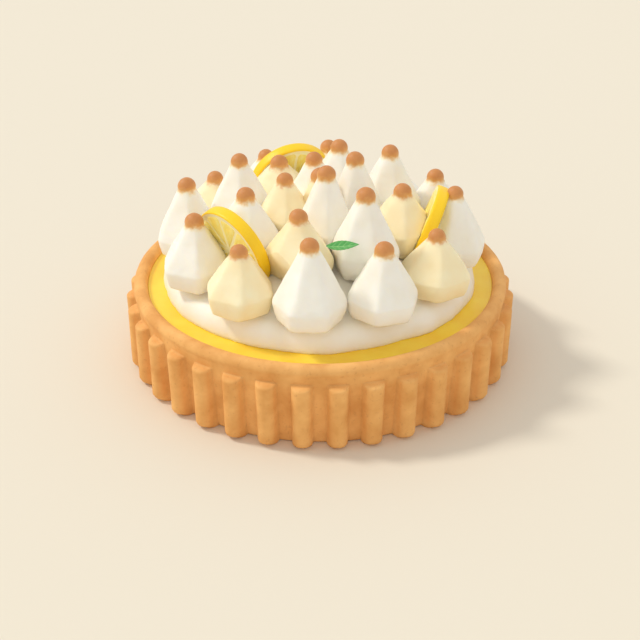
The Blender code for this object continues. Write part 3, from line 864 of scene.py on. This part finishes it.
def wheel_body():
    """Rind and pith as one turned disc; the pith faces are sunk a little below the rind."""
    half = WHEEL_THICKNESS / 2
    outline = [(WHEEL_RADIUS - RIND, -half), (WHEEL_RADIUS - 0.5 * RIND, -half + 0.05 * MM),
               (WHEEL_RADIUS - 0.1 * MM, -half + 0.7 * MM), (WHEEL_RADIUS, -0.45 * half),
               (WHEEL_RADIUS, 0.45 * half), (WHEEL_RADIUS - 0.1 * MM, half - 0.7 * MM),
               (WHEEL_RADIUS - 0.5 * RIND, half - 0.05 * MM), (WHEEL_RADIUS - RIND, half)]
    pith = [(WHEEL_RADIUS - RIND - 0.3 * MM, half - 0.15 * MM), (20 * MM, half - 0.2 * MM),
            (10 * MM, half - 0.2 * MM), (3 * MM, half - 0.2 * MM)]
    under = [(radius, -depth) for radius, depth in reversed(pith)]
    count = 120
    bm = bmesh.new()
    rings = [[Vector((radius * math.cos(2 * math.pi * i / count),
                      radius * math.sin(2 * math.pi * i / count), depth)) for i in range(count)]
             for radius, depth in under + outline + pith]
    stack_rings(bm, rings, bottom=(0, 0, -half + 0.2 * MM), top=(0, 0, half - 0.2 * MM))
    for face in bm.faces:
        middle = face.calc_center_median()
        face.material_index = 0 if middle.xy.length > WHEEL_RADIUS - RIND - 0.1 * MM else 1
    return bm


def wedge_edge(inset):
    """Outline of one segment around +X: two straight membranes and a round back."""
    half_angle = math.pi / SEGMENTS
    back = WHEEL_RADIUS - RIND - PITH - inset
    side = MEMBRANE / 2 + inset
    corner = max(0.3 * MM, SEGMENT_CORNER - inset)
    front = CORE + side / math.sin(half_angle) * 0.9
    points = [Vector((front, 0.0))]
    slope = Vector((math.cos(half_angle), math.sin(half_angle)))
    away = Vector((math.sin(half_angle), -math.cos(half_angle))) * side
    reach = math.sqrt(max(0.0, (back - corner) ** 2 - side ** 2))
    for step in range(1, 7):
        share = step / 6
        points.append(points[0].lerp(slope * (reach - 0.3 * MM) + away, share))
    top_angle = math.atan2(points[-1].y, points[-1].x) - corner / back
    for step in range(9):
        turn = top_angle * (1 - step / 4)
        points.append(Vector((math.cos(turn), math.sin(turn))) * back)
    mirrored = [Vector((p.x, -p.y)) for p in reversed(points[1:7])]
    return points + mirrored


def wedge_mesh():
    """One segment, through the slice and plump on both faces, with its sac coordinates."""
    half = WHEEL_THICKNESS / 2
    bm = bmesh.new()
    levels = [(1.2 * MM, -half - 0.10 * MM), (0.5 * MM, -half + 0.02 * MM),
              (0.0, -half + 0.35 * MM), (0.0, half - 0.35 * MM), (0.5 * MM, half - 0.02 * MM),
              (1.2 * MM, half + 0.10 * MM)]
    rings = [[Vector((p.x, p.y, depth)) for p in wedge_edge(inset)] for inset, depth in levels]
    middle = 0.62 * WHEEL_RADIUS
    stack_rings(bm, rings, bottom=(middle, 0, -half - 0.15 * MM), top=(middle, 0, half + 0.15 * MM))
    sac_map = bm.loops.layers.uv.new("sacs")
    for face in bm.faces:
        for loop in face.loops:
            place = loop.vert.co
            loop[sac_map].uv = (place.xy.length / (WHEEL_RADIUS * 0.5),
                                math.atan2(place.y, place.x) * SEGMENTS / math.pi / 2)
    bmesh.ops.recalc_face_normals(bm, faces=bm.faces[:])
    mesh = bpy.data.meshes.new("lemon_segment")
    bm.to_mesh(mesh)
    bm.free()
    mesh.shade_smooth()
    return mesh


def part_kiss(kiss, place):
    """Clear a kiss from a wheel that only grazes it: cut it along the wheel's near face."""
    inverse = place.inverted()
    spots = [inverse @ vert.co for vert in kiss.data.vertices]
    half = WHEEL_THICKNESS / 2 + 0.15 * MM
    if not any(abs(spot.z) < half and spot.xy.length < WHEEL_RADIUS for spot in spots):
        return
    side = 1 if sum(spot.z > 0 for spot in spots) > len(spots) / 2 else -1
    tip = inverse @ max((vert.co for vert in kiss.data.vertices), key=lambda spot: spot.z)
    if side * tip.z < half + 1.2 * TIP_RADIUS:
        return
    bm = bmesh.new()
    bm.from_mesh(kiss.data)
    cut = bmesh.ops.bisect_plane(
        bm, geom=bm.verts[:] + bm.edges[:] + bm.faces[:], dist=0.001 * MM,
        plane_co=place @ Vector((0, 0, side * half)),
        plane_no=place.to_3x3() @ Vector((0, 0, side)),
        clear_inner=True)
    rim = [item for item in cut["geom_cut"] if isinstance(item, bmesh.types.BMEdge)]
    bmesh.ops.holes_fill(bm, edges=rim)
    bmesh.ops.triangulate(bm, faces=[face for face in bm.faces if len(face.verts) > 4])
    bmesh.ops.recalc_face_normals(bm, faces=bm.faces[:])
    bm.to_mesh(kiss.data)
    bm.free()


segment = bpy.data.objects.new("lemon_segment", wedge_mesh())
bpy.context.scene.collection.objects.link(segment)

# One segment is set out round the core as often as the lemon has segments
tree, given = new_shape_tree("ring_of_segments", {
    "Segment": "Object", "Count": "Int", "Unevenness": "Float", "Seed": "Int"})
points = add_node(tree, "GeometryNodePoints", {}, {"Count": given["Count"]})
order = add_node(tree, "GeometryNodeInputIndex").outputs[0]
step_angle = add_node(tree, "ShaderNodeMath", {"operation": "DIVIDE"}, 2 * math.pi, given["Count"])
spin = add_node(
    tree, "ShaderNodeCombineXYZ", {},
    {2: add_node(tree, "ShaderNodeMath", {"operation": "MULTIPLY"}, order, step_angle)})
uneven = add_node(tree, "FunctionNodeRandomValue", {"data_type": "FLOAT", 3: 1.0},
                  {2: add_node(
                      tree, "ShaderNodeMath", {"operation": "SUBTRACT"}, 1.0, given["Unevenness"]),
                   "Seed": given["Seed"]})
source = add_node(tree, "GeometryNodeObjectInfo", {}, {"Object": given["Segment"]})
around = add_node(tree, "GeometryNodeInstanceOnPoints",
                  {}, {"Points": points.outputs[0], "Instance": source.outputs["Geometry"],
                         "Rotation": spin.outputs[0],
                         "Scale": add_node(tree, "ShaderNodeCombineXYZ", {2: 1.0}, {
                             0: uneven.outputs[1], 1: uneven.outputs[1]}).outputs[0]})
close_tree(tree, around.outputs[0], flesh_finish)

for label, (ring_radius, ring_angle, height, facing, down) in WHEELS.items():
    centre = turned_point(ring_radius, math.radians(ring_angle), height)
    facing_out = turned_point(math.cos(math.radians(down)), math.radians(facing),
                              -math.sin(math.radians(down)))
    upright = facing_out.to_track_quat("Z", "Y").to_matrix().to_4x4()
    place = Matrix.Translation(centre) @ upright @ Matrix.Rotation(draw.uniform(0, 1), 4, "Z")
    body = wheel_body()
    bmesh.ops.transform(body, matrix=place, verts=body.verts[:])
    wheel = mesh_object(f"wheel_{label}_rind", body, rind_finish)
    wheel.data.materials.append(pith_finish)
    finish_piece(wheel, f"lemon_wheel_{label}")
    flesh = mesh_object(f"wheel_{label}_flesh", bmesh.new())
    bake_nodes(flesh, tree, {"Segment": segment, "Count": SEGMENTS, "Unevenness": 0.05,
                             "Seed": len(label)})
    flesh.data.transform(place)
    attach(flesh, "root")
    for kiss in kisses:
        part_kiss(kiss, place)
bpy.data.objects.remove(segment, do_unlink=True)


# ------------------------------------------------------------------ mint leaf
# One small fresh leaf, pressed flat against the front of a kiss. It is a pointed oval with a
# toothed edge, folded at the midrib and quilted between its side veins.

LEAF_LENGTH = 18 * MM
LEAF_WIDTH = 9.5 * MM
LEAF_THICKNESS = 0.5 * MM
LEAF_FOLD = 1.0 * MM
LEAF_CENTRE = Vector((12.2, -60.5, 97.2)) * MM
LEAF_TURN = math.radians(-6)
LEAF_RISE = math.radians(6)
LEAF_ROLL = math.radians(8)
LEAF_TEETH = 9
SIDE_VEINS = 6
LEAF_ROWS = 72
LEAF_ACROSS = 28

# Mint: satin green, lighter along the veins, with light glowing through the thin blade.
mint, tree, shader = new_material("fresh_mint", 0.42, Specular_IOR_Level=0.5,
                                  Subsurface_Weight=0.1, Subsurface_Scale=1 * MM)
vein = add_node(tree, "ShaderNodeAttribute", {"attribute_name": "vein"}).outputs["Fac"]
where = add_node(tree, "ShaderNodeTexCoord").outputs["Object"]
mottle = add_node(tree, "ShaderNodeTexNoise", {"Scale": 1 / (1.6 * MM), "Detail": 3.0},
                  {"Vector": where})
blade = add_node(tree, "ShaderNodeMix",
                 {"data_type": "RGBA", 6: linear("38903F"), 7: linear("5DB056")},
                 {0: mottle.outputs[0]})
tones = add_node(tree, "ShaderNodeMix", {"data_type": "RGBA", 7: linear("A6D68A")},
                 {0: vein, 6: blade.outputs[2]})
tree.links.new(tones.outputs[2], shader.inputs["Base Color"])


def leaf_half_width(share):
    """Half width with the teeth of the edge."""
    plain = 0.5 * LEAF_WIDTH * math.sin(math.pi * share ** 0.85) ** 0.9
    tooth = (share * LEAF_TEETH) % 1.0
    return plain * (1 - 0.07 * tooth)


def leaf_vein(share, across):
    """1 on the midrib and the side veins, 0 between them."""
    midrib = max(0.0, 1 - abs(across) / 0.07)
    rank = (share - 0.16 * abs(across)) * SIDE_VEINS
    side = max(0.0, 1 - abs(rank - round(rank)) / 0.10) * (1 - 0.5 * abs(across))
    return min(1.0, max(midrib, 0.8 * side))


def leaf_point(share, across, side):
    half = leaf_half_width(share)
    fold = LEAF_FOLD * (abs(across) ** 1.3 - 1) * half / (0.5 * LEAF_WIDTH)
    rank = (share - 0.16 * abs(across)) * SIDE_VEINS
    quilt = 0.22 * MM * abs(math.sin(math.pi * rank)) * math.sin(math.pi * min(1, abs(across)))
    edge = math.sqrt(max(0.0, 1 - abs(across) ** 6))
    return Vector(((share - 0.5) * LEAF_LENGTH, across * half,
                   fold + quilt + side * 0.5 * LEAF_THICKNESS * edge * math.sqrt(
                       max(0.0, math.sin(math.pi * share)))))


bm = bmesh.new()
vein_layer = bm.verts.layers.float.new("vein")
leaf_rings = []
for row in range(1, LEAF_ROWS):
    share = row / LEAF_ROWS
    upper = [(share, 2 * i / LEAF_ACROSS - 1, 1) for i in range(LEAF_ACROSS)]
    lower = [(share, 1 - 2 * i / LEAF_ACROSS, -1) for i in range(LEAF_ACROSS)]
    leaf_rings.append(upper + lower)
loops = stack_rings(bm, [[leaf_point(*spot) for spot in ring] for ring in leaf_rings],
                    bottom=(-0.5 * LEAF_LENGTH, 0, 0), top=(0.5 * LEAF_LENGTH, 0, 0))
for loop, ring in zip(loops, leaf_rings):
    for vert, (share, across, side) in zip(loop, ring):
        vert[vein_layer] = leaf_vein(share, across)
place = Matrix.Translation(LEAF_CENTRE) @ Matrix.Rotation(LEAF_TURN, 4, "Z")
place = place @ Matrix.Rotation(-LEAF_RISE, 4, "Y") @ Matrix.Rotation(LEAF_ROLL, 4, "X")
bmesh.ops.transform(bm, matrix=place, verts=bm.verts[:])
leaf = mesh_object("mint_leaf_fresh", bm, mint)
finish_piece(leaf, "mint_leaf")
